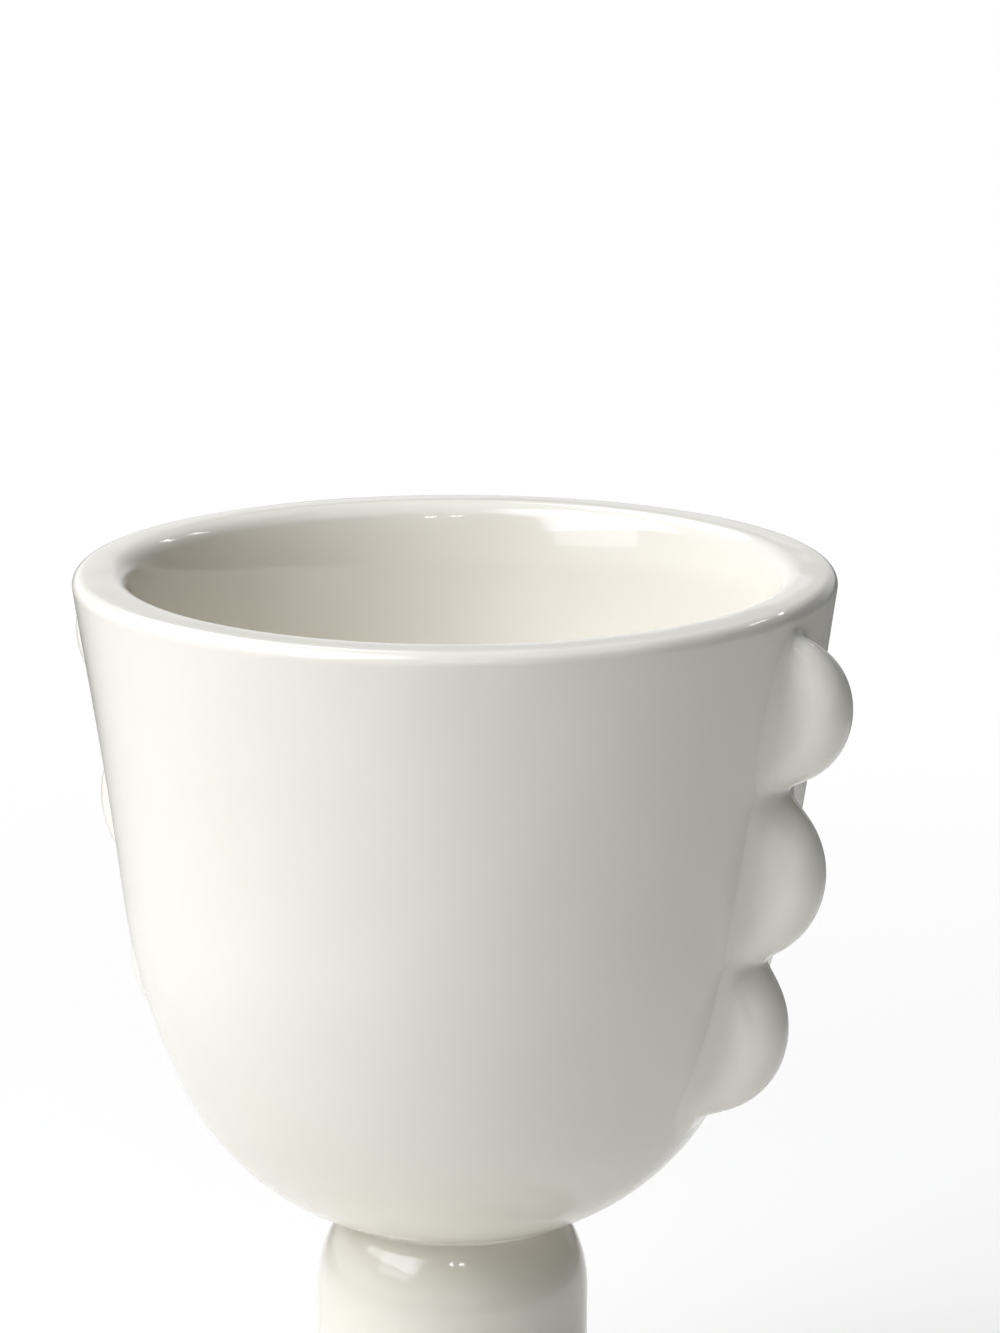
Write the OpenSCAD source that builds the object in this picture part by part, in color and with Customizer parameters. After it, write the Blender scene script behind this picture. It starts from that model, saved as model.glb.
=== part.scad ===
// Egg cup in glazed ceramic. A deep, round-bottomed bowl stands on a thick stem
// and a round foot, and three rounded lobes run down each of two opposite sides.
// Every piece is formed by itself and luted on with slip, seat against seat.
// The origin is the middle of the foot's underside, +Z is up, and the lobes
// stand out along X.

/* [Bowl] */
// Diameter of the rim, over its widest part
rim_d = 50; // [46:0.5:58]
// Thickness of the bowl's wall
wall = 4; // [3:0.1:5]
// Lean of the straight upper wall from upright, in degrees
wall_lean = 9.2; // [6:0.1:12]
// Depth of the straight upper wall, from the top of the rim
straight_depth = 22.5; // [18:0.25:27]
// Radius of the long curve below the straight wall
side_curve_r = 43.5; // [36:0.5:56]
// Lean of the wall where the long curve runs into the bottom curve, in degrees
bottom_lean = 26.2; // [20:0.2:32]
// Radius of the bottom curve, which ends level
bottom_curve_r = 17.4; // [14:0.1:19]
// Rounding of the rim's outer edge
rim_outer_round = 1.5; // [0.8:0.1:1.9]
// Rounding of the rim's inner edge
rim_inner_round = 1.2; // [0.6:0.1:1.6]

/* [Lobes] */
// Thickness of the lobes, whose edges are fully round
lobe_t = 4.4; // [3:0.1:5.6]
// Gap between a lobe and the one above it, along the bowl's face
lobe_gap = 0.2; // [0.1:0.05:1]
// Radius of the top lobe
top_lobe_r = 5.3; // [4.6:0.1:6]
// Depth below the rim of the place on the bowl's face that the top lobe stands on
top_lobe_depth = 6.7; // [6.2:0.1:8]
// Distance of the top lobe's centre behind the bowl's face
top_lobe_sink = 1.1; // [0.2:0.1:2.4]
// Radius of the middle lobe
middle_lobe_r = 5.9; // [4.6:0.1:6.6]
// Distance of the middle lobe's centre behind the bowl's face
middle_lobe_sink = 1.7; // [0.2:0.1:2.8]
// Radius of the bottom lobe
bottom_lobe_r = 5.7; // [4.6:0.1:6.6]
// Distance of the bottom lobe's centre behind the bowl's face
bottom_lobe_sink = 1.8; // [0.2:0.1:2.8]

/* [Stem] */
// Diameter of the stem
stem_d = 18; // [15:0.25:22]
// Height of the stem between the foot's top and the bowl's lowest point
stem_h = 18.5; // [12:0.5:30]
// Rounding of the stem's two ends
stem_round = 8.6; // [5:0.1:9]
// Height of the stem's round top that is pared away to seat the bowl
stem_top_seat = 4.4; // [3:0.1:6]
// Depth of the stem's round lower end in the foot
stem_foot_seat = 3.6; // [2:0.1:4.4]

/* [Foot] */
// Diameter of the foot
foot_d = 38; // [32:0.5:46]
// Height of the foot
foot_h = 9; // [8:0.25:12]
// Rounding of the foot's upper edge
foot_top_round = 5.5; // [2:0.1:6]
// Rounding of the foot's lower edge
foot_low_round = 1.8; // [0.8:0.1:2.4]
// Width of the bare ring that the foot stands on
foot_ring_w = 3; // [2:0.1:5]
// Depth of the hollow inside that ring
foot_hollow_depth = 1.6; // [1:0.1:2]
// Rounding of the hollow's inner corner
foot_hollow_round = 1.2; // [0.6:0.1:1.6]

/* [Hidden] */
$fn = 180;
glaze_colour = [0.94, 0.93, 0.89];

// How far a cut runs past the face that it opens
overrun = 1;

rim_r = rim_d / 2;
stem_r = stem_d / 2;
foot_r = foot_d / 2;

// Steps in which the curves of the bowl's outline turn, in degrees
curve_step = 2;
rim_step = 7;

// Direction square to a face that leans in from upright by some degrees. It is
// straight up at -90, and straight down at 90
function out(lean) = [cos(lean), -sin(lean)];

// Points along an arc between the places where its face has two given leans
function arc(centre, r, from, to, step) =
    let (count = ceil(abs(to - from) / step))
    [for (i = [0:count]) centre + r * out(from + (to - from) * i / count)];

// The bowl's outline is drawn with the top of the rim at height zero. The
// straight wall would meet the top of the rim at the corner's radius
corner_r = rim_r + rim_outer_round * (tan(wall_lean) + 1 / cos(wall_lean) - 1);
hollow_corner_r = corner_r - wall / cos(wall_lean);

// Centres of the rim's two roundings, and of the two curves, each of which is
// tangent to what comes before it
rim_outer_centre = [
    corner_r - rim_outer_round * (tan(wall_lean) + 1 / cos(wall_lean)),
    -rim_outer_round
];
rim_inner_centre = [
    hollow_corner_r - rim_inner_round * (tan(wall_lean) - 1 / cos(wall_lean)),
    -rim_inner_round
];
straight_end = [corner_r - straight_depth * tan(wall_lean), -straight_depth];
side_centre = straight_end - side_curve_r * out(wall_lean);
bottom_centre = side_centre + (side_curve_r - bottom_curve_r) * out(bottom_lean);

// The bottom curve ends level, or on the axis where it gets there first
function end_lean(r) = bottom_centre[0] < 0 ? acos(-bottom_centre[0] / r) : 90;

// The long curve and the bottom curve, at a depth inside the outer face
function low_curves(inset) = concat(
    arc(side_centre, side_curve_r - inset, wall_lean, bottom_lean, curve_step),
    arc(bottom_centre, bottom_curve_r - inset, bottom_lean,
        end_lean(bottom_curve_r - inset), curve_step)
);

bowl_depth = bottom_curve_r * sin(end_lean(bottom_curve_r)) - bottom_centre[1];
side_depth = side_curve_r * sin(bottom_lean) - side_centre[1];

// Heights above the table
bowl_low_z = foot_h + stem_h;
rim_z = bowl_low_z + bowl_depth;
stem_top_z = bowl_low_z + stem_top_seat;
stem_low_z = foot_h - stem_foot_seat;

foot_hollow_r = foot_r - foot_low_round - foot_ring_w;

lobe_rs = [top_lobe_r, middle_lobe_r, bottom_lobe_r];
lobe_sinks = [top_lobe_sink, middle_lobe_sink, bottom_lobe_sink];

// How far a circle reaches beside its centre at a height from its centre
function reach(r, height) = sqrt(pow(r, 2) - pow(height, 2));

// Lean of the bowl's outer face at a depth below the rim
function face_lean(depth) =
    depth < straight_depth ? wall_lean
    : depth < side_depth ? asin((depth + side_centre[1]) / side_curve_r)
    : asin((depth + bottom_centre[1]) / bottom_curve_r);

// Place on the bowl's outer face at a depth below the rim
function face_point(depth) =
    depth < straight_depth ? [corner_r - depth * tan(wall_lean), -depth]
    : depth < side_depth ? side_centre + side_curve_r * out(face_lean(depth))
    : bottom_centre + bottom_curve_r * out(face_lean(depth));

// Half of the stretch of the bowl's face that a lobe covers: row 0 is the top one
function lobe_half(row) = reach(lobe_rs[row], lobe_sinks[row]);

// Depth below the rim of the place on the bowl's face that a lobe stands on. Each
// lobe follows the one above it along the face
function lobe_depth(row) =
    row == 0 ? top_lobe_depth
    : let (
        above = lobe_depth(row - 1),
        pitch = lobe_half(row - 1) + lobe_gap + lobe_half(row)
    )
    above + pitch * cos(face_lean(above + pitch / 2));

// A round form turned from half its outline. The outline runs down from the
// rim, and the form is closed to the axis at the top and the bottom
module turned_form(top_z, outline) {
    last = outline[len(outline) - 1];
    translate([0, 0, rim_z])
        rotate_extrude()
            polygon(concat([[0, top_z]], outline, last[0] > 0 ? [[0, last[1]]] : []));
}

// The bowl's outer form without its hollow, which the stem and lobes fit
module bowl_form() {
    rim = arc(rim_outer_centre, rim_outer_round, -90, wall_lean, rim_step);
    turned_form(0, concat(rim, low_curves(0)));
}

// The hollow that holds the egg
module bowl_hollow() {
    mouth = [rim_inner_centre[0], overrun];
    rim = arc(rim_inner_centre, rim_inner_round, -90, wall_lean - 180, rim_step);
    turned_form(overrun, concat([mouth], rim, low_curves(wall)));
}

// A disc with rounded edges, standing from one height to another
module rounded_disc(r, low_z, top_z, low_round, top_round) {
    rotate_extrude()
        intersection() {
            union() {
                translate([0, low_z])
                    square([r - low_round, low_round]);
                translate([0, low_z + low_round])
                    square([r, top_z - low_z - low_round - top_round]);
                translate([0, top_z - top_round])
                    square([r - top_round, top_round]);
                translate([r - low_round, low_z + low_round])
                    circle(low_round);
                translate([r - top_round, top_z - top_round])
                    circle(top_round);
            }
            translate([0, low_z])
                square([r, top_z - low_z]);
        }
}

// The whole stem with both of its ends round, before it is pared to its seat
module stem_blank() {
    end_round = min(stem_round, stem_r);
    rounded_disc(stem_r, stem_low_z, stem_top_z, end_round, end_round);
}

// The hollow inside the ring that the foot stands on
module foot_hollow() {
    below_z = -overrun - foot_hollow_round;
    rounded_disc(foot_hollow_r, below_z, foot_hollow_depth, foot_hollow_round, foot_hollow_round);
}

// A whole lobe, before it is cut to the bowl
module lobe_blank(row) {
    edge_r = lobe_t / 2;
    flat_r = lobe_rs[row] - edge_r;
    depth = lobe_depth(row);
    centre = face_point(depth) - lobe_sinks[row] * out(face_lean(depth));
    translate([centre[0], 0, rim_z + centre[1]])
        rotate([90, 0, 0])
            rotate_extrude()
                intersection() {
                    union() {
                        translate([0, -edge_r])
                            square([flat_r, lobe_t]);
                        translate([flat_r, 0])
                            circle(edge_r);
                    }
                    translate([0, -edge_r])
                        square([lobe_rs[row], lobe_t]);
                }
}

// One lobe, seated on the bowl. The turn is 0 degrees for the right side and 180
// for the left
module lobe(row, turn) {
    color(glaze_colour)
        rotate([0, 0, turn])
            difference() {
                lobe_blank(row);
                bowl_form();
            }
}

module bowl() {
    color(glaze_colour)
        difference() {
            bowl_form();
            bowl_hollow();
        }
}

module stem() {
    color(glaze_colour)
        difference() {
            stem_blank();
            bowl_form();
        }
}

module foot() {
    color(glaze_colour)
        difference() {
            rounded_disc(foot_r, 0, foot_h, foot_low_round, foot_top_round);
            stem_blank();
            foot_hollow();
        }
}

module lobe_right_top() {
    lobe(0, 0);
}

module lobe_right_middle() {
    lobe(1, 0);
}

module lobe_right_bottom() {
    lobe(2, 0);
}

module lobe_left_top() {
    lobe(0, 180);
}

module lobe_left_middle() {
    lobe(1, 180);
}

module lobe_left_bottom() {
    lobe(2, 180);
}

bowl();
stem();
foot();
lobe_right_top();
lobe_right_middle();
lobe_right_bottom();
lobe_left_top();
lobe_left_middle();
lobe_left_bottom();
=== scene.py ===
from math import acos, atan2, ceil, cos, hypot, pi, radians, sin, sqrt

import bpy
import numpy as np
from mathutils import Matrix, Vector


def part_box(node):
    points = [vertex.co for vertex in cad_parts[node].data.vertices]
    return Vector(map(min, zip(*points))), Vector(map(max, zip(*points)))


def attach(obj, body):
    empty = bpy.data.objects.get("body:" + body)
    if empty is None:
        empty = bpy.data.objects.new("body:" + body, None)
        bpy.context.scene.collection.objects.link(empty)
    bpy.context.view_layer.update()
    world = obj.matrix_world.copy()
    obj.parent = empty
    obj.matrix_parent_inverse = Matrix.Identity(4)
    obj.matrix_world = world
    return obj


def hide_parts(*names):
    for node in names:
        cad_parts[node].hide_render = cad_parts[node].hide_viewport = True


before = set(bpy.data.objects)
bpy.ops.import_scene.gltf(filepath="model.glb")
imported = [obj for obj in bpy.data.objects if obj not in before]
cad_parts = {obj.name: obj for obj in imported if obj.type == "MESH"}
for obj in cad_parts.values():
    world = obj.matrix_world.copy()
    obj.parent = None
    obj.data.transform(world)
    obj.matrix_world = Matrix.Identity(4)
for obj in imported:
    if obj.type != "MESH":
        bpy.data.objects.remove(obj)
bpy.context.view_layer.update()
print("frame loaded:", ", ".join(sorted(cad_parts)))

mm = 0.001  # shapes are worked out in millimetres, and meshes are written in metres
seatLap = 0.02  # pieces reach this far into the one they sit on, so that no light passes
samePlace = 1e-6  # points of an outline that are nearer than this are one
sharpAngle = radians(50)  # steeper edges between faces stay crisp


def nodeBox(name):
    low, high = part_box(name)
    return np.array(low) / mm, np.array(high) / mm


bowlBox, stemBox, footBox = nodeBox("bowl"), nodeBox("stem"), nodeBox("foot")
rimZ = bowlBox[1][2]


# Outlines, as points (distance from the axis, height)

# How far the flat between two points may leave the arc, in millimetres
slack = {"inside": 0.004, "plain": 0.002, "edge": 0.001, "side": 0.0008, "crown": 0.0005}


def leanOut(lean):  # straight out at 0, straight up at -90 degrees
    return np.array([cos(lean), -sin(lean)])


def leanOf(vector):
    return atan2(-vector[1], vector[0])


def arcPoints(centre, radius, start, end, kind="plain"):
    count = max(2, ceil(abs(end - start) / (2 * acos(1 - slack[kind] / radius))))
    return [centre + radius * leanOut(start + (end - start) * i / count) for i in range(count + 1)]


def linePoints(start, end, step=1.2):
    count = max(1, ceil(hypot(*(end - start)) / step))
    return [start + (end - start) * i / count for i in range(count + 1)]


def joined(*runs):  # runs of points in one list, each shared end once
    points = [np.array(p, float) for run in runs for p in run]
    return [p for i, p in enumerate(points) if i == 0 or hypot(*(p - points[i - 1])) > samePlace]


def circlesMeet(centreA, radiusA, centreB, radiusB):
    # the outer one of the two points where the circles cross
    gap = centreB - centreA
    distance = hypot(*gap)
    along = (distance**2 + radiusA**2 - radiusB**2) / (2 * distance)
    across = sqrt(radiusA**2 - along**2)
    unit = gap / distance
    side = np.array([-unit[1], unit[0]]) * across
    return max([centreA + unit * along + side, centreA + unit * along - side], key=lambda p: p[0])


# Meshes

def meshPiece(name, points, faces, node, material, normals=None):
    mesh = bpy.data.meshes.new(name)
    mesh.from_pydata((np.asarray(points) * mm).tolist(), [], faces)
    mesh.shade_smooth()
    mesh.set_sharp_from_angle(angle=sharpAngle)
    if normals is not None:
        mesh.normals_split_custom_set_from_vertices(np.asarray(normals).tolist())
    piece = bpy.data.objects.new(name, mesh)
    bpy.context.scene.collection.objects.link(piece)
    mesh.materials.append(material)
    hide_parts(node)
    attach(piece, "root")


def turned(outline, segments):
    # a closed form turned round the axis, from an outline that starts and ends on it
    outline = np.array(outline)
    inner = outline[1:-1]
    turns = np.arange(segments) * 2 * pi / segments
    flat = [(r * np.cos(turns), r * np.sin(turns), np.full(segments, z)) for r, z in inner]
    rings = [np.stack(ring, axis=1) for ring in flat]
    first, last = len(rings) * segments, len(rings) * segments + 1
    points = np.concatenate(rings + [[(0, 0, outline[0][1])], [(0, 0, outline[-1][1])]])
    faces = []
    for k in range(segments):
        after = (k + 1) % segments
        faces.append((first, k, after))
        for row in range(len(rings) - 1):
            low, high = row * segments, (row + 1) * segments
            faces.append((low + k, high + k, high + after, low + after))
        low = (len(rings) - 1) * segments
        faces.append((last, low + after, low + k))
    return points, faces


# Bowl

bowl = {
    "rimRadius": bowlBox[1][1],
    "wall": 4.0,
    "lean": radians(8.6),  # of the straight upper wall
    "straightDepth": 22.33,  # from the rim to the end of that wall
    "sideCurve": 43.5,  # radius of the side below it
    "sideEndLean": radians(26.2),  # where the side turns into the bottom
    "bottomCurve": 17.4,  # radius of the round bottom
    "outerLip": 0.85,  # radius of the lip's outer edge
    "innerLip": 1.5,  # the lip's inner edge, which then rolls into the wall by the softer innerRoll
    "innerRoll": 15.0,
    "rollFrom": radians(-159),  # lean of the face where the roll starts
    "lipCrown": 12.0,  # radius of the gently domed top of the lip
    "crownRadius": 23.0,  # where that top is highest
    "segments": 320,
}

# The lines of the bowl that other pieces use too: its outer face, its inner face and its lip
faceOut = leanOut(bowl["lean"])
faceUp = np.array([sin(bowl["lean"]), cos(bowl["lean"])])
leanSlope = sin(bowl["lean"]) / cos(bowl["lean"])
corner = bowl["rimRadius"] + bowl["outerLip"] * (leanSlope + 1 / cos(bowl["lean"]) - 1)
straightEnd = np.array([
    corner - bowl["straightDepth"] * sin(bowl["lean"]) / cos(bowl["lean"]),
    rimZ - bowl["straightDepth"],
])
sideCentre = straightEnd - bowl["sideCurve"] * faceOut
bottomCentre = sideCentre + (bowl["sideCurve"] - bowl["bottomCurve"]) * leanOut(bowl["sideEndLean"])
bowlLowZ = bottomCentre[1] - bowl["bottomCurve"]
crownCentre = np.array([bowl["crownRadius"], rimZ - bowl["lipCrown"]])


def underCrown(start, rounding):
    # the centre of a rounding that touches the crown from within, straight up the wall from a start
    gap = start - crownCentre
    half = gap @ faceUp
    reach = bowl["lipCrown"] - rounding
    return start + faceUp * (-half + sqrt(half**2 - gap @ gap + reach**2))


innerEnd = straightEnd - bowl["wall"] * faceOut
outerLipCentre = underCrown(straightEnd - bowl["outerLip"] * faceOut, bowl["outerLip"])
rollGap = (bowl["innerRoll"] - bowl["innerLip"]) * leanOut(bowl["rollFrom"])
innerLipCentre = underCrown(innerEnd + bowl["innerRoll"] * faceOut + rollGap, bowl["innerLip"])
innerRollCentre = innerLipCentre - rollGap
straightTop = (outerLipCentre - straightEnd) @ faceUp  # where the outer face turns into the lip


def bowlOutline():
    lowEnd = radians(90)
    inset = bowl["wall"]
    inside = joined(
        [(0, bowlLowZ + inset)],
        arcPoints(bottomCentre, bowl["bottomCurve"] - inset, lowEnd, bowl["sideEndLean"], "inside"),
        arcPoints(sideCentre, bowl["sideCurve"] - inset, bowl["sideEndLean"], bowl["lean"], "inside"),
        linePoints(innerEnd, innerRollCentre - bowl["innerRoll"] * faceOut),
    )
    innerCrown = leanOf(innerLipCentre - crownCentre)
    outerCrown = leanOf(outerLipCentre - crownCentre)
    lip = joined(
        arcPoints(innerRollCentre, bowl["innerRoll"], bowl["lean"] - pi, bowl["rollFrom"]),
        arcPoints(innerLipCentre, bowl["innerLip"], bowl["rollFrom"], innerCrown, "edge"),
        arcPoints(crownCentre, bowl["lipCrown"], innerCrown, outerCrown, "crown"),
        arcPoints(outerLipCentre, bowl["outerLip"], outerCrown, bowl["lean"], "edge"),
    )
    outside = joined(
        linePoints(outerLipCentre + bowl["outerLip"] * faceOut, straightEnd),
        arcPoints(sideCentre, bowl["sideCurve"], bowl["lean"], bowl["sideEndLean"], "side"),
        arcPoints(bottomCentre, bowl["bottomCurve"], bowl["sideEndLean"], lowEnd),
        [(0, bowlLowZ)],
    )
    return joined(inside, lip, outside)


def wallDistance(points):
    # signed distance from the bowl's outer face, up to its lip
    flat = np.stack([np.hypot(points[..., 0], points[..., 1]), points[..., 2]], axis=-1)
    fromEnd, fromSide = flat - straightEnd, flat - sideCentre
    fromBottom, fromLip = flat - bottomCentre, flat - outerLipCentre
    along = fromEnd @ faceUp
    straight = fromEnd @ faceOut
    side = np.hypot(fromSide[..., 0], fromSide[..., 1]) - bowl["sideCurve"]
    bottom = np.hypot(fromBottom[..., 0], fromBottom[..., 1]) - bowl["bottomCurve"]
    lip = np.hypot(fromLip[..., 0], fromLip[..., 1]) - bowl["outerLip"]
    low = np.where(np.arctan2(-fromSide[..., 1], fromSide[..., 0]) < bowl["sideEndLean"], side, bottom)
    return np.where(along > straightTop, lip, np.where(along > 0, straight, low))


# The small unevenness of a cup finished by hand

hand = {
    "oval": 0.10,  # how much the rim is drawn in on two sides
    "ovalTurn": radians(20),
    "rimDip": 0.24,  # how much the rim dips on one side
    "dipTurn": radians(205),
    "rimSaddle": 0.07,  # how much it dips towards two sides
    "saddleTurn": radians(117),
    "bulge": 0.15,  # how far the wall stands out to one side, half-way down
    "bulgeTurn": radians(27),
    "fadesAt": 44.0,  # below this height the cup is true
}


def wave(turn):  # 1 at a turn of 0, and 0 half-way round
    return 0.5 + 0.5 * np.cos(turn)


def settle(points):
    x, y, z = points.T
    turn = np.arctan2(y, x)
    rise = np.clip((z - hand["fadesAt"]) / (rimZ - hand["fadesAt"]), 0, 1)
    share = rise**2
    narrowed = 0.5 - 0.5 * np.cos(2 * (turn - hand["ovalTurn"]))
    drawIn = hand["oval"] / bowl["rimRadius"] * narrowed * share
    dip = hand["rimDip"] * wave(turn - hand["dipTurn"]) * share
    dip = dip + hand["rimSaddle"] * wave(2 * (turn - hand["saddleTurn"])) * share
    bulge = hand["bulge"] * np.sin(pi * rise) ** 2
    x = x * (1 - drawIn) + bulge * cos(hand["bulgeTurn"])
    y = y * (1 - drawIn) + bulge * sin(hand["bulgeTurn"])
    return np.stack([x, y, z - dip], axis=1)


# Stem

stem = {
    "radius": stemBox[1][0],
    "endRounding": 8.6,  # of both ends
    "topSeat": 4.4,  # height of the round top that is pared away under the bowl
    "bowlFillet": 0.16,  # glaze gathered under the bowl
    "footFillet": 0.8,  # and above the foot
    "segments": 320,
}


def stemOutline():
    end, bowlFillet, footFillet = stem["endRounding"], stem["bowlFillet"], stem["footFillet"]
    core = stem["radius"] - end
    lowZ, topZ, footZ = stemBox[0][2], bowlLowZ + stem["topSeat"], foot["height"]
    topCentre, lowCentre = np.array([core, topZ - end]), np.array([core, lowZ + end])
    filletTop = circlesMeet(topCentre, end + bowlFillet, bottomCentre, bowl["bottomCurve"] + bowlFillet)
    filletLow = np.array([0, footZ + footFillet])
    filletLow[0] = core + sqrt((end + footFillet) ** 2 - (lowCentre[1] - filletLow[1]) ** 2)
    seat = bowl["bottomCurve"] - seatLap
    onBowl = leanOf(filletTop - bottomCentre)
    onStem = leanOf(filletTop - topCentre)
    lowOnStem = leanOf(filletLow - lowCentre)
    footEdge = np.array([filletLow[0], footZ])
    inDish = np.array([core + sqrt(end**2 - (lowCentre[1] - footZ) ** 2), footZ - seatLap])
    return joined(
        [(0, bottomCentre[1] - seat)],
        arcPoints(bottomCentre, seat, radians(90), onBowl),
        arcPoints(filletTop, bowlFillet, onBowl - pi, onStem - pi, "edge"),
        arcPoints(topCentre, end, onStem, 0),
        linePoints(np.array([stem["radius"], topZ - end]), np.array([stem["radius"], lowZ + end])),
        arcPoints(lowCentre, end, 0, lowOnStem),
        arcPoints(filletLow, footFillet, lowOnStem - pi, pi / 2 - 2 * pi, "edge"),
        [footEdge, footEdge - (0, seatLap), inDish],
        arcPoints(lowCentre, end, leanOf(inDish - lowCentre), radians(90)),
        [(0, lowZ)],
    )


# Foot

foot = {
    "radius": footBox[1][0],
    "height": footBox[1][2],
    "topRounding": 5.5,
    "lowRounding": 1.8,
    "ringWidth": 3.0,
    "hollowDepth": 1.6,
    "hollowRounding": 1.2,
    "hollowStep": 0.4,  # between points up the hollow's side
    "glazeEnd": 0.75,  # the glaze stops this far above the table
    "glazeStep": 0.09,  # its thickness there
    "segments": 256,
}


def footOutline():
    low, top, hollow = foot["lowRounding"], foot["topRounding"], foot["hollowRounding"]
    rim, height, step = foot["radius"], foot["height"], foot["glazeStep"]
    ringOuter, ringInner = rim - low, rim - low - foot["ringWidth"]
    end = stem["endRounding"]
    dishCentre = np.array([stem["radius"] - end, stemBox[0][2] + end])
    dishEdge = np.array([dishCentre[0] + sqrt(end**2 - (dishCentre[1] - height) ** 2), height])
    lowCentre = np.array([ringOuter, low])
    glazeLean = np.arcsin((low - foot["glazeEnd"]) / low)
    hollowSide = foot["hollowDepth"] - hollow
    hollowLow, hollowHigh = np.array([ringInner, 0.0]), np.array([ringInner, hollowSide])
    return joined(
        [(0, stemBox[0][2])],
        arcPoints(dishCentre, end, radians(90), leanOf(dishEdge - dishCentre)),
        linePoints(dishEdge, np.array([rim - top, height])),
        arcPoints(np.array([rim - top, height - top]), top, -pi / 2, 0),
        linePoints(np.array([rim, height - top]), np.array([rim, low])),
        arcPoints(lowCentre, low, 0, glazeLean - step / low),
        arcPoints(lowCentre, low - step, glazeLean, pi / 2 - step / low),
        [(ringOuter, 0)],
        [(ringInner, 0)],
        linePoints(hollowLow, hollowHigh, foot["hollowStep"]),
        arcPoints(np.array([ringInner - hollow, hollowSide]), hollow, 0, -pi / 2),
        [(0, foot["hollowDepth"])],
    )


# Lobes

lobes = {
    "inset": [0.07, 0.1, -0.04],  # of each from its solid, so that the uneven cup stays within its size
    "radii": [5.35, 6.15, 6.1],  # top, middle, bottom
    "belowRim": [6.7, 17.9, 28.43],  # of each lobe's centre
    "thickness": 4.3,  # the edges are fully round
    "pinch": [2.5, 0.5, 0.3],  # how much thinner each is at its top, where it was pressed from behind
    "wallBlend": 2.6,  # how far the glaze rounds off the foot of a lobe
    "lipBlend": 0.8,  # the same just under the lip
    "blendStarts": 0.4,  # how far below the rim the second begins to turn into the first
    "blendGrows": 8.0,  # and over what depth
    "lobeBlend": 0.9,  # how far the glaze rounds off the corner between two lobes
    "thinnest": 0.001,  # the glaze has run out where it is thinner than this
    "rays": 200,  # round each lobe
    "rings": 84,  # from its tip to the wall
    "rayStart": 1.4,  # how far out from the wall's face they start
    "raysBunch": 0.35,  # how much closer the rays lie towards the lobe's two ends
    "ringsBunch": 0.25,  # how much closer the rings lie by the wall
    "seatRings": [1.0, 0.75, 0.5, 0.25, 0.0],  # from the edge of a lobe's underside to its middle
}
lobeRows = ["top", "middle", "bottom"]
lobeCentres = [
    (nodeBox("lobe_right_" + name)[1][0] - inset - radius, rimZ - below)
    for name, inset, radius, below in zip(lobeRows, lobes["inset"], lobes["radii"], lobes["belowRim"])
]


def lobeDistance(points, row):
    # signed distance from a disc with a round edge, pressed thinner towards its top
    centreX, centreZ = lobeCentres[row]
    rise = np.clip((points[..., 2] - centreZ) / lobes["radii"][row], 0, 1)
    pinch = lobes["pinch"][row] * rise**3
    edge = (lobes["thickness"] - pinch) / 2
    out = np.hypot(points[..., 0] - centreX, points[..., 2] - centreZ) - (lobes["radii"][row] - edge)
    return np.hypot(np.maximum(out, 0), points[..., 1] + pinch / 2) - edge


def smoothLower(a, b, width):
    # the lower of two distances, with a soft passage of this width where they meet
    gap = np.maximum(width - np.abs(a - b), 0) / width
    return np.minimum(a, b) - gap**3 * width / 6


def skinDistance(points):
    # the bowl and its lobes under one glaze, which rounds off every inner corner
    top, middle, bottom = [lobeDistance(points, row) for row in range(len(lobeRows))]
    formed = smoothLower(smoothLower(top, middle, lobes["lobeBlend"]), bottom, lobes["lobeBlend"])
    share = np.clip((rimZ - lobes["blendStarts"] - points[..., 2]) / lobes["blendGrows"], 0, 1)
    share = share * share * (3 - 2 * share)
    blend = lobes["lipBlend"] + (lobes["wallBlend"] - lobes["lipBlend"]) * share
    return smoothLower(wallDistance(points), formed, blend)


def slopeOf(distance, points, step=0.001):
    # the way straight out of a surface, from the distances around each point
    axes = np.eye(3) * step
    slope = np.stack([distance(points + a) - distance(points - a) for a in axes], axis=-1)
    return slope / np.linalg.norm(slope, axis=-1, keepdims=True)


def castRays(start, ways, reach=10.0, strides=90):
    # each ray walks from inside up to the skin, by strides that can't pass it, or down into the wall
    far = np.zeros(ways.shape[:-1])
    for _ in range(strides):
        far = np.minimum(far - skinDistance(start + ways * far[..., None]), reach)
    return far


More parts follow.
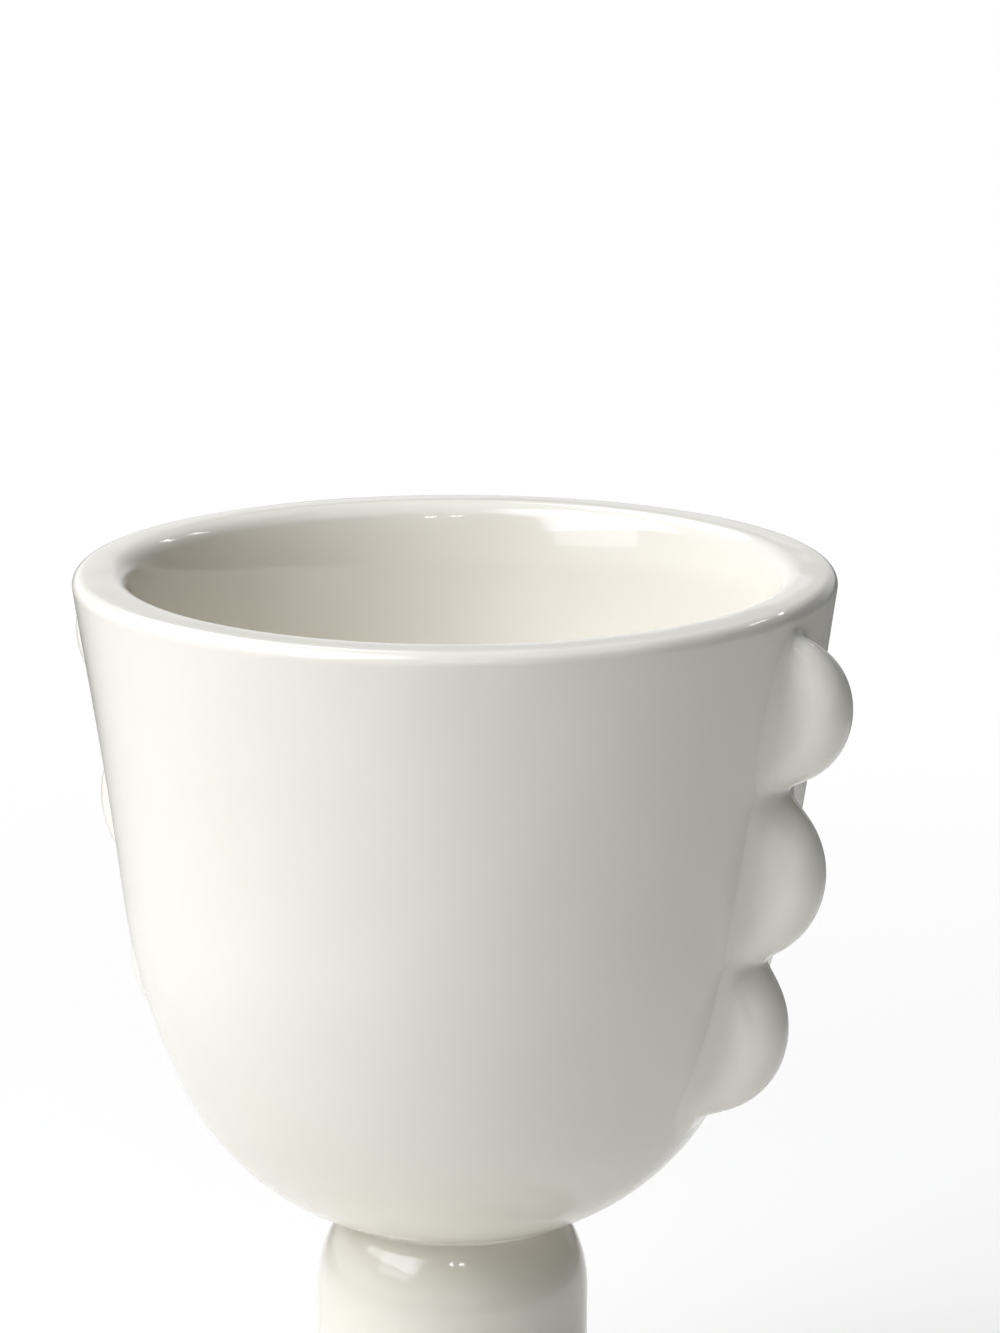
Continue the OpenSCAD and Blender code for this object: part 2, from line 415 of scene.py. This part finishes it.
def lobeSkin(row, triedTilt=150, halvings=20):
    # rays from a point in the root of the lobe meet the glaze. Each fan of them ends where the glaze has
    # run out on the wall, or where the next lobe begins. Tilts are tried a degree apart, then by halves
    rays = lobes["rays"]
    centreX, centreZ = lobeCentres[row]
    base = np.array([centreX, 0, centreZ])
    out = slopeOf(wallDistance, base)
    base = base - out * wallDistance(base)
    start = base + out * lobes["rayStart"]
    down = np.array([out[2], 0, -out[0]])
    side = np.array([0.0, 1.0, 0.0])
    spread = np.arange(rays) * 2 * pi / rays
    spread = spread - lobes["raysBunch"] * np.sin(2 * spread) / 2
    across = np.cos(spread)[:, None] * down + np.sin(spread)[:, None] * side

    def hit(tilt):
        fan = across.reshape((rays,) + (1,) * (tilt.ndim - 1) + (3,))
        ways = np.cos(tilt)[..., None] * out + np.sin(tilt)[..., None] * fan
        return start + ways * castRays(start, ways)[..., None]

    def owned(points):
        own = lobeDistance(points, row)
        others = [lobeDistance(points, other) for other in range(len(lobeRows)) if other != row]
        return (wallDistance(points) > lobes["thinnest"]) & (own < np.minimum(*others))

    coarse = np.tile(np.linspace(0, radians(triedTilt), triedTilt + 1), (rays, 1))
    firstLost = np.argmax(~owned(hit(coarse)), axis=1)
    high = coarse[np.arange(rays), firstLost]
    low = high - radians(1)
    for _ in range(halvings):
        middle = (low + high) / 2
        kept = owned(hit(middle))
        low, high = np.where(kept, middle, low), np.where(kept, high, middle)
    shares = np.linspace(0, 1, lobes["rings"] + 1)[1:]
    shares = shares + lobes["ringsBunch"] * np.sin(2 * pi * shares) / (2 * pi)
    skin = hit(low[:, None] * shares)
    tip = hit(np.zeros((rays,)))[:1]
    edge = skin[:, -1]
    seats = []
    for share in lobes["seatRings"]:  # the underside follows the bowl's face
        spot = base + (edge - base) * share
        spot = spot - slopeOf(wallDistance, spot) * (wallDistance(spot) + seatLap)[:, None]
        seats.append(spot if share else spot[:1])
    return tip, skin, seats


def lobeMesh(row):
    tip, skin, seats = lobeSkin(row)
    rays, rings = skin.shape[:2]
    loops = [skin[:, k] for k in range(rings)] + seats[:-1]
    points = np.concatenate([tip] + loops + [seats[-1]])
    faces = []
    for k in range(rays):
        after = (k + 1) % rays
        faces.append((0, 1 + k, 1 + after))
        for ring in range(len(loops) - 1):
            near, far = 1 + ring * rays, 1 + (ring + 1) * rays
            faces.append((near + k, far + k, far + after, near + after))
        near = 1 + (len(loops) - 1) * rays
        faces.append((near + k, len(points) - 1, near + after))
    onSkin, onSeat = points[:1 + rays * rings], points[1 + rays * rings:]
    normals = np.concatenate([slopeOf(skinDistance, onSkin), -slopeOf(wallDistance, onSeat)])
    return points, faces, normals


# Glaze and clay

glazes = {
    "bowlGlaze": {"thin": (0.842, 0.798, 0.70), "thick": (0.828, 0.783, 0.682), "rollHeight": 0.0003},
    # the lobes' glaze is painted a little paler than the bowl's, as painted light for the brighter light
    # that falls on their faces
    "lobePaintedLightGlaze": {"thin": (0.87, 0.826, 0.73), "thick": (0.855, 0.81, 0.71), "rollHeight": 0.00006},
    "stemGlaze": {"thin": (0.835, 0.788, 0.68), "thick": (0.82, 0.773, 0.663), "rollHeight": 0.00007},
    "footGlaze": {"thin": (0.82, 0.775, 0.672), "thick": (0.802, 0.757, 0.652), "rollHeight": 0.00005},
}
glazeShine = {"roughness": 0.08, "ior": 1.5, "speckRoughness": 0.4}
glazeMarks = {
    "patchScale": 60.0,
    "patchFrom": 0.32,  # the noise below which the glaze is thin
    "patchTo": 0.68,  # and above which it is thick
    "speckScale": 240.0,
    "speckColour": (0.4, 0.33, 0.24),
    "speckAmount": 0.5,
    "speckless": 0.955,  # the share of the cells that hold no speck
    "speckSize": 0.11,  # of the largest, in cells
    "speckEdge": 0.05,
}
glazeFlow = {"rollScale": 90.0, "rippleScale": 700.0, "rippleHeight": 0.000001}
bareClay = {
    "colour": (0.56, 0.49, 0.40),
    "dark": 0.86,  # the darkest grains against that colour
    "pale": 1.12,
    "roughness": 0.85,
    "grain": 2600.0,
    "grainHeight": 0.00003,
    "edgeScale": 300.0,  # of the wandering edge of the glaze, with its reach and its width in metres
    "edgeWander": 0.00012,
    "edgeWidth": 0.00006,
}


def addNode(tree, kind, place, inputs=None, **settings):
    node = tree.nodes.new(kind)
    node.location = place
    for key, value in settings.items():
        setattr(node, key, value)
    for key, value in (inputs or {}).items():
        if isinstance(value, bpy.types.NodeSocket):
            tree.links.new(value, node.inputs[key])
        else:
            node.inputs[key].default_value = value
    return node


def addMath(tree, place, operation, *values):
    return addNode(tree, "ShaderNodeMath", place, dict(enumerate(values)), operation=operation).outputs[0]


def addRange(tree, place, value, start=0.0, end=1.0, low=0.0, high=1.0, kind="LINEAR"):
    inputs = {"Value": value, "From Min": start, "From Max": end, "To Min": low, "To Max": high}
    return addNode(tree, "ShaderNodeMapRange", place, inputs, interpolation_type=kind).outputs["Result"]


# The sockets of a Mix node share their names, so they are found by number
def mixColours(tree, place, share, first, second):
    inputs = {0: share, 6: first, 7: second}
    return addNode(tree, "ShaderNodeMix", place, inputs, data_type="RGBA").outputs[2]


def mixNumbers(tree, place, share, first, second):
    return addNode(tree, "ShaderNodeMix", place, {0: share, 2: first, 3: second}).outputs[0]


def addPlace(tree, place):
    return addNode(tree, "ShaderNodeTexCoord", place).outputs["Object"]


def newGroup(name, inputs, outputs):
    group = bpy.data.node_groups.new(name, "ShaderNodeTree")
    for label, kind, default in inputs:
        socket = group.interface.new_socket(label, in_out="INPUT", socket_type=kind)
        socket.default_value = default
    for label, kind in outputs:
        group.interface.new_socket(label, in_out="OUTPUT", socket_type=kind)
    given = addNode(group, "NodeGroupInput", (-900, 0)).outputs
    made = addNode(group, "NodeGroupOutput", (700, 0)).inputs
    return group, given, made


def buildGlazeTone():
    # slow changes of colour, where the glaze lies thicker or thinner, and a few specks of iron
    marks = glazeMarks
    group, given, made = newGroup(
        "glazeTone",
        [
            ("Thin", "NodeSocketColor", (1, 1, 1, 1)),  # each glaze has its own two colours
            ("Thick", "NodeSocketColor", (1, 1, 1, 1)),
            ("Patch Scale", "NodeSocketFloat", marks["patchScale"]),
            ("Speck Scale", "NodeSocketFloat", marks["speckScale"]),
            ("Speck Colour", "NodeSocketColor", (*marks["speckColour"], 1)),
            ("Speck Amount", "NodeSocketFloat", marks["speckAmount"]),
        ],
        [("Colour", "NodeSocketColor"), ("Specks", "NodeSocketFloat")],
    )
    place = addPlace(group, (-900, -300))
    cloudy = {"Vector": place, "Scale": given["Patch Scale"], "Detail": 3.0, "Roughness": 0.45}
    patches = addNode(group, "ShaderNodeTexNoise", (-600, 100), cloudy).outputs["Fac"]
    soft = addRange(group, (-380, 100), patches, marks["patchFrom"], marks["patchTo"], kind="SMOOTHSTEP")
    tone = mixColours(group, (-160, 100), soft, given["Thin"], given["Thick"])
    spread = {"Vector": place, "Scale": given["Speck Scale"]}
    cells = addNode(group, "ShaderNodeTexVoronoi", (-600, -250), spread)
    draw = addNode(group, "ShaderNodeSeparateColor", (-380, -420), {"Color": cells.outputs["Color"]})
    size = addRange(group, (-200, -420), draw.outputs["Red"], marks["speckless"], high=marks["speckSize"])
    dot = addMath(group, (-20, -300), "SUBTRACT", size, cells.outputs["Distance"])
    mask = addRange(group, (160, -300), dot, 0.0, marks["speckEdge"], high=given["Speck Amount"])
    speckled = mixColours(group, (380, 50), mask, tone, given["Speck Colour"])
    group.links.new(speckled, made["Colour"])
    group.links.new(mask, made["Specks"])
    return group


def buildGlazeWaves():
    # the slow roll of a poured glaze with a finer ripple on it, as a height in metres
    group, given, made = newGroup(
        "glazeWaves",
        [
            ("Roll Scale", "NodeSocketFloat", glazeFlow["rollScale"]),
            ("Roll Height", "NodeSocketFloat", 0.0),  # each glaze has its own
            ("Ripple Scale", "NodeSocketFloat", glazeFlow["rippleScale"]),
            ("Ripple Height", "NodeSocketFloat", glazeFlow["rippleHeight"]),
        ],
        [("Height", "NodeSocketFloat")],
    )
    place = addPlace(group, (-900, -300))
    parts = []
    for row, (kind, detail) in enumerate([("Roll", 1.0), ("Ripple", 2.0)]):
        look = {"Vector": place, "Scale": given[kind + " Scale"], "Detail": detail, "Roughness": 0.4}
        noise = addNode(group, "ShaderNodeTexNoise", (-600, -260 * row), look).outputs["Fac"]
        parts.append(addMath(group, (-350, -260 * row), "MULTIPLY", noise, given[kind + " Height"]))
    group.links.new(addMath(group, (-100, -100), "ADD", *parts), made["Height"])
    return group


glazeTone, glazeWaves = buildGlazeTone(), buildGlazeWaves()


def addBareClay(tree, bareBelow, colour, roughness, height):
    # the foot's ring is wiped clean of glaze, and shows the fired clay
    place = addPlace(tree, (-1500, -600))
    parts = addNode(tree, "ShaderNodeSeparateXYZ", (-1300, -600), {"Vector": place})
    edgeLook = {"Vector": place, "Scale": bareClay["edgeScale"], "Detail": 2.0}
    uneven = addNode(tree, "ShaderNodeTexNoise", (-1300, -800), edgeLook).outputs["Fac"]
    wander = bareClay["edgeWander"]
    edge = addMath(tree, (-1100, -700), "MULTIPLY_ADD", uneven, wander, parts.outputs["Z"])
    bare = addRange(tree, (-900, -600), edge, bareBelow, bareBelow + bareClay["edgeWidth"], 1.0, 0.0)
    grainLook = {"Vector": place, "Scale": bareClay["grain"], "Detail": 3.0}
    grain = addNode(tree, "ShaderNodeTexNoise", (-1100, -1000), grainLook).outputs["Fac"]
    dark = (*[c * bareClay["dark"] for c in bareClay["colour"]], 1)
    pale = (*[min(1, c * bareClay["pale"]) for c in bareClay["colour"]], 1)
    clay = mixColours(tree, (-700, -800), grain, dark, pale)
    raised = addMath(tree, (-700, -1000), "MULTIPLY", grain, bareClay["grainHeight"])
    return (
        mixColours(tree, (-450, 200), bare, colour, clay),
        mixNumbers(tree, (-450, 0), bare, roughness, bareClay["roughness"]),
        mixNumbers(tree, (-450, -400), bare, height, raised),
    )


def makeGlaze(name, bareBelow=None):
    look = glazes[name]
    material = bpy.data.materials.new(name)
    material.use_nodes = True
    tree = material.node_tree
    shader = tree.nodes["Principled BSDF"]
    shader.inputs["IOR"].default_value = glazeShine["ior"]
    tone = addNode(tree, "ShaderNodeGroup", (-700, 200), node_tree=glazeTone)
    tone.inputs["Thin"].default_value = (*look["thin"], 1)
    tone.inputs["Thick"].default_value = (*look["thick"], 1)
    waves = addNode(tree, "ShaderNodeGroup", (-700, -250), node_tree=glazeWaves)
    waves.inputs["Roll Height"].default_value = look["rollHeight"]
    colour, height = tone.outputs["Colour"], waves.outputs["Height"]
    shine, speckShine = glazeShine["roughness"], glazeShine["speckRoughness"]
    roughness = addRange(tree, (-400, 0), tone.outputs["Specks"], low=shine, high=speckShine)
    if bareBelow is not None:
        colour, roughness, height = addBareClay(tree, bareBelow, colour, roughness, height)
    relief = {"Strength": 1.0, "Distance": 1.0, "Height": height}
    bump = addNode(tree, "ShaderNodeBump", (-250, -300), relief)
    tree.links.new(colour, shader.inputs["Base Color"])
    tree.links.new(roughness, shader.inputs["Roughness"])
    tree.links.new(bump.outputs["Normal"], shader.inputs["Normal"])
    return material


bowlGlaze, lobePaintedLightGlaze, stemGlaze = [makeGlaze(name) for name in ("bowlGlaze", "lobePaintedLightGlaze", "stemGlaze")]
footGlaze = makeGlaze("footGlaze", bareBelow=foot["glazeEnd"] * mm)
print("glazes made")


# Pieces

points, faces = turned(bowlOutline(), bowl["segments"])
meshPiece("bowl_body", settle(points), faces, "bowl", bowlGlaze)
print("bowl made")

points, faces = turned(stemOutline(), stem["segments"])
meshPiece("stem_body", points, faces, "stem", stemGlaze)
print("stem made")

points, faces = turned(footOutline(), foot["segments"])
meshPiece("foot_body", points, faces, "foot", footGlaze)
print("foot made")

for row, name in enumerate(lobeRows):
    points, faces, normals = lobeMesh(row)
    for side, turn in (("right", 1), ("left", -1)):  # the left ones are turned half-way round
        half = np.array([turn, turn, 1])
        node = "lobe_" + side + "_" + name
        meshPiece(node + "_form", settle(points * half), faces, node, lobePaintedLightGlaze, normals * half)
print("lobes made")


# Camera

shot = {
    "distance": 500.0,  # from the point it aims at
    "below": radians(12.9),  # how far it looks down
    "turn": radians(26.8),  # how far it stands round the cup, from the front to the right
    "across": 2.97,  # the point it aims at, to the right of the axis
    "underRim": 6.74,  # and below the rim
    "roll": radians(0.27),  # how far it tips to one side
    "lens": 206.3,
    "sensor": 36.0,
    "clip": (0.01, 20.0),  # metres
}


def makeCamera():
    turn, below, roll = shot["turn"], shot["below"], shot["roll"]
    ahead = Vector((-sin(turn) * cos(below), cos(turn) * cos(below), -sin(below)))
    right = Vector((cos(turn), sin(turn), 0))
    up = right.cross(ahead)
    tiltedRight = right * cos(roll) + up * sin(roll)
    tiltedUp = up * cos(roll) - right * sin(roll)
    aim = Vector((shot["across"] * cos(turn), shot["across"] * sin(turn), rimZ - shot["underRim"]))
    place = (aim - shot["distance"] * ahead) * mm
    data = bpy.data.cameras.new("photoCamera")
    data.lens = shot["lens"]
    data.sensor_width = shot["sensor"]
    data.clip_start, data.clip_end = shot["clip"]
    camera = bpy.data.objects.new("photoCamera", data)
    bpy.context.scene.collection.objects.link(camera)
    axes = Matrix((tiltedRight, tiltedUp, -ahead)).transposed().to_4x4()
    camera.matrix_world = Matrix.Translation(place) @ axes
    bpy.context.scene.camera = camera


# Floor and sky

white = (1.0, 1.0, 1.0)
daylight = (0.965, 1.0, 1.075)
ground = {
    "size": 24.0,  # metres across
    "colour": (0.864, 0.86, 0.832),  # as it throws light back on the cup
    "seenColour": (0.668, 0.645, 0.6),  # as the camera and reflections see it under the lamps
    "glow": 0.33,  # the white that is added to what they see
    "whiteFrom": 0.06,  # what they see fades to plain white between these two distances, in metres
    "whiteTo": 0.27,
    "dimFrom": 0.08,  # and for reflections all its white fades to this share between these two
    "dimTo": 0.25,
    "dimShare": 0.2,
}
sky = {
    "strength": 0.02,  # light from all round
    "colour": daylight,
    "backdrop": 0.75,  # how white reflections see the backdrop
    "backdropTop": 0.1,  # the backdrop ends, and the dim ceiling starts, at these heights of a
    "ceilingFrom": 0.35,  # direction's upward part
    "ceiling": 0.02,
    "wholeFrom": 0.3,  # there is no backdrop to the right: it is whole where the cosine of the
    "goneFrom": 0.9,  # angle to that side is below the first of these, and gone above the second
}


def seenWhite(tree):
    # 1 on the rays that show the white surroundings, and 0 on those that light the cup
    paths = addNode(tree, "ShaderNodeLightPath", (-700, 400))
    most = paths.outputs["Is Camera Ray"]
    for row, kind in enumerate(("Is Glossy Ray", "Is Transmission Ray")):
        most = addMath(tree, (-500 + 180 * row, 400), "MAXIMUM", most, paths.outputs[kind])
    return most


def cameraSeesAll(tree, place, share):
    # a share that only reflections see, and 1 for the camera
    paths = addNode(tree, "ShaderNodeLightPath", (place[0] - 200, place[1] - 200))
    return addMath(tree, place, "MAXIMUM", share, paths.outputs["Is Camera Ray"])


def addVector(tree, place, operation, *values):
    inputs = dict(enumerate(values))
    return addNode(tree, "ShaderNodeVectorMath", place, inputs, operation=operation).outputs


def addPaper(tree, place, colour):
    return addNode(tree, "ShaderNodeBsdfDiffuse", place, {"Color": (*colour, 1)}).outputs[0]


def addGlow(tree, kind, place, colour, strength):
    return addNode(tree, kind, place, {"Color": (*colour, 1), "Strength": strength}).outputs[0]


def mixShaders(tree, place, share, first, second):
    return addNode(tree, "ShaderNodeMixShader", place, {0: share, 1: first, 2: second}).outputs[0]


def makeFloor():
    half = ground["size"] / 2
    corners = [(-half, -half, 0), (half, -half, 0), (half, half, 0), (-half, half, 0)]
    mesh = bpy.data.meshes.new("floor")
    mesh.from_pydata(corners, [], [(0, 1, 2, 3)])
    floor = bpy.data.objects.new("floor", mesh)
    bpy.context.scene.collection.objects.link(floor)
    material = bpy.data.materials.new("floorPaper")
    material.use_nodes = True
    tree = material.node_tree
    tree.nodes.clear()
    made = addNode(tree, "ShaderNodeOutputMaterial", (500, 0))
    plain = addPaper(tree, (-300, 0), ground["colour"])
    shaded = addPaper(tree, (-300, -200), ground["seenColour"])
    away = addVector(tree, (-1100, -600), "LENGTH", addPlace(tree, (-1300, -600)))["Value"]
    far = addRange(tree, (-500, -700), away, ground["whiteFrom"], ground["whiteTo"], kind="SMOOTHSTEP")
    dimFrom, dimTo = ground["dimFrom"], ground["dimTo"]
    dim = addRange(tree, (-900, -500), away, dimFrom, dimTo, 1.0, ground["dimShare"], "SMOOTHSTEP")
    share = cameraSeesAll(tree, (-700, -500), dim)
    strength = addMath(tree, (-500, -400), "MULTIPLY", share, ground["glow"])
    glow = addGlow(tree, "ShaderNodeEmission", (-300, -400), white, strength)
    pale = addNode(tree, "ShaderNodeAddShader", (-50, -300), {0: shaded, 1: glow}).outputs[0]
    bright = addGlow(tree, "ShaderNodeEmission", (-300, -600), white, share)
    seen = mixShaders(tree, (150, -300), far, pale, bright)
    tree.links.new(mixShaders(tree, (350, 0), seenWhite(tree), plain, seen), made.inputs["Surface"])
    material.cycles.emission_sampling = "NONE"
    mesh.materials.append(material)


def shareByTurn(tree, way, side, start, end):
    # 0 where the cosine of a level direction's angle to a side is at start, and 1 where it is at end
    level = addVector(tree, (-1300, -900), "MULTIPLY", way, (1, 1, 0))["Vector"]
    unit = addVector(tree, (-1100, -900), "NORMALIZE", level)["Vector"]
    match = addVector(tree, (-900, -900), "DOT_PRODUCT", unit, side)["Value"]
    return addRange(tree, (-700, -900), match, start, end, kind="SMOOTHSTEP")


def makeSky():
    world = bpy.data.worlds.new("studioSky")
    bpy.context.scene.world = world
    world.use_nodes = True
    tree = world.node_tree
    tree.nodes.clear()
    made = addNode(tree, "ShaderNodeOutputWorld", (700, 0))
    light = addGlow(tree, "ShaderNodeBackground", (100, 0), sky["colour"], sky["strength"])
    way = addNode(tree, "ShaderNodeTexCoord", (-700, -300)).outputs["Generated"]
    up = addNode(tree, "ShaderNodeSeparateXYZ", (-500, -300), {"Vector": way}).outputs["Z"]
    low, high = sky["backdropTop"], sky["ceilingFrom"]
    height = addRange(tree, (-300, -300), up, low, high, sky["backdrop"], sky["ceiling"], "SMOOTHSTEP")
    toRight = (cos(shot["turn"]), sin(shot["turn"]), 0)
    there = shareByTurn(tree, way, toRight, sky["goneFrom"], sky["wholeFrom"])
    mirrored = addMath(tree, (-300, -500), "MULTIPLY", height, there)
    shown = cameraSeesAll(tree, (-100, -300), mirrored)
    bright = addGlow(tree, "ShaderNodeBackground", (100, -200), white, shown)
    tree.links.new(mixShaders(tree, (450, 0), seenWhite(tree), light, bright), made.inputs["Surface"])


# Lamps

# All stand this many metres from the point they aim at, which is at a share of the rim's height
lampStand = {"away": 0.9, "aimShare": 0.7}
# Turn runs from the camera's side round to the right, and lift up from the table, both in degrees
lamps = {
    "softbox": {"turn": -63, "lift": 45, "size": (0.95, 0.7), "watts": 7.4, "colour": daylight},
    "upperSoftbox": {"turn": -63, "lift": 62, "size": (0.5, 0.4), "watts": 2.4, "colour": daylight},
    "lowSoftbox": {"turn": -55, "lift": 28, "size": (0.5, 0.4), "watts": 1.5, "colour": daylight},
    "backFill": {"turn": -150, "lift": 45, "size": (0.5, 0.4), "watts": 2.1, "colour": daylight},
    "rightFill": {"turn": 60, "lift": 60, "size": (0.5, 0.4), "watts": 0.54, "colour": (0.9, 1.0, 1.09)},
}
# Small lamps that only glint in the glaze
glints = {
    "frontGlint": {"turn": -1, "lift": 34, "size": (0.055, 0.035), "watts": 0.13, "colour": white},
    "frontGlintRight": {"turn": 9, "lift": 34, "size": (0.06, 0.035), "watts": 0.13, "colour": white},
    "backGlint": {"turn": 145, "lift": 34.5, "size": (0.2, 0.022), "watts": 0.13, "colour": white},
    "backGlintHigh": {"turn": 129, "lift": 39.5, "size": (0.2, 0.022), "watts": 0.13, "colour": white},
    "rimGlint": {"turn": 179, "lift": 13, "size": (0.12, 0.03), "watts": 0.003, "colour": white},
}


def lampPlace(turn, lift, aim):
    toCamera = Vector((sin(shot["turn"]), -cos(shot["turn"]), 0))
    toRight = Vector((cos(shot["turn"]), sin(shot["turn"]), 0))
    level = toCamera * cos(turn) + toRight * sin(turn)
    return aim + (level * cos(lift) + Vector((0, 0, sin(lift)))) * lampStand["away"]


def makeLamps():
    aim = Vector((0, 0, rimZ * lampStand["aimShare"] * mm))
    for name, look in (lamps | glints).items():
        data = bpy.data.lights.new(name, "AREA")
        data.shape = "RECTANGLE"
        data.size, data.size_y = look["size"]
        data.energy = look["watts"]
        data.color = look["colour"]
        lamp = bpy.data.objects.new(name, data)
        lamp.visible_diffuse = name in lamps
        lamp.location = lampPlace(radians(look["turn"]), radians(look["lift"]), aim)
        lamp.rotation_euler = (aim - lamp.location).to_track_quat("-Z", "Y").to_euler()
        bpy.context.scene.collection.objects.link(lamp)


makeFloor()
makeSky()
makeLamps()
makeCamera()
bpy.context.scene.view_settings.view_transform = "Standard"
print("studio made")
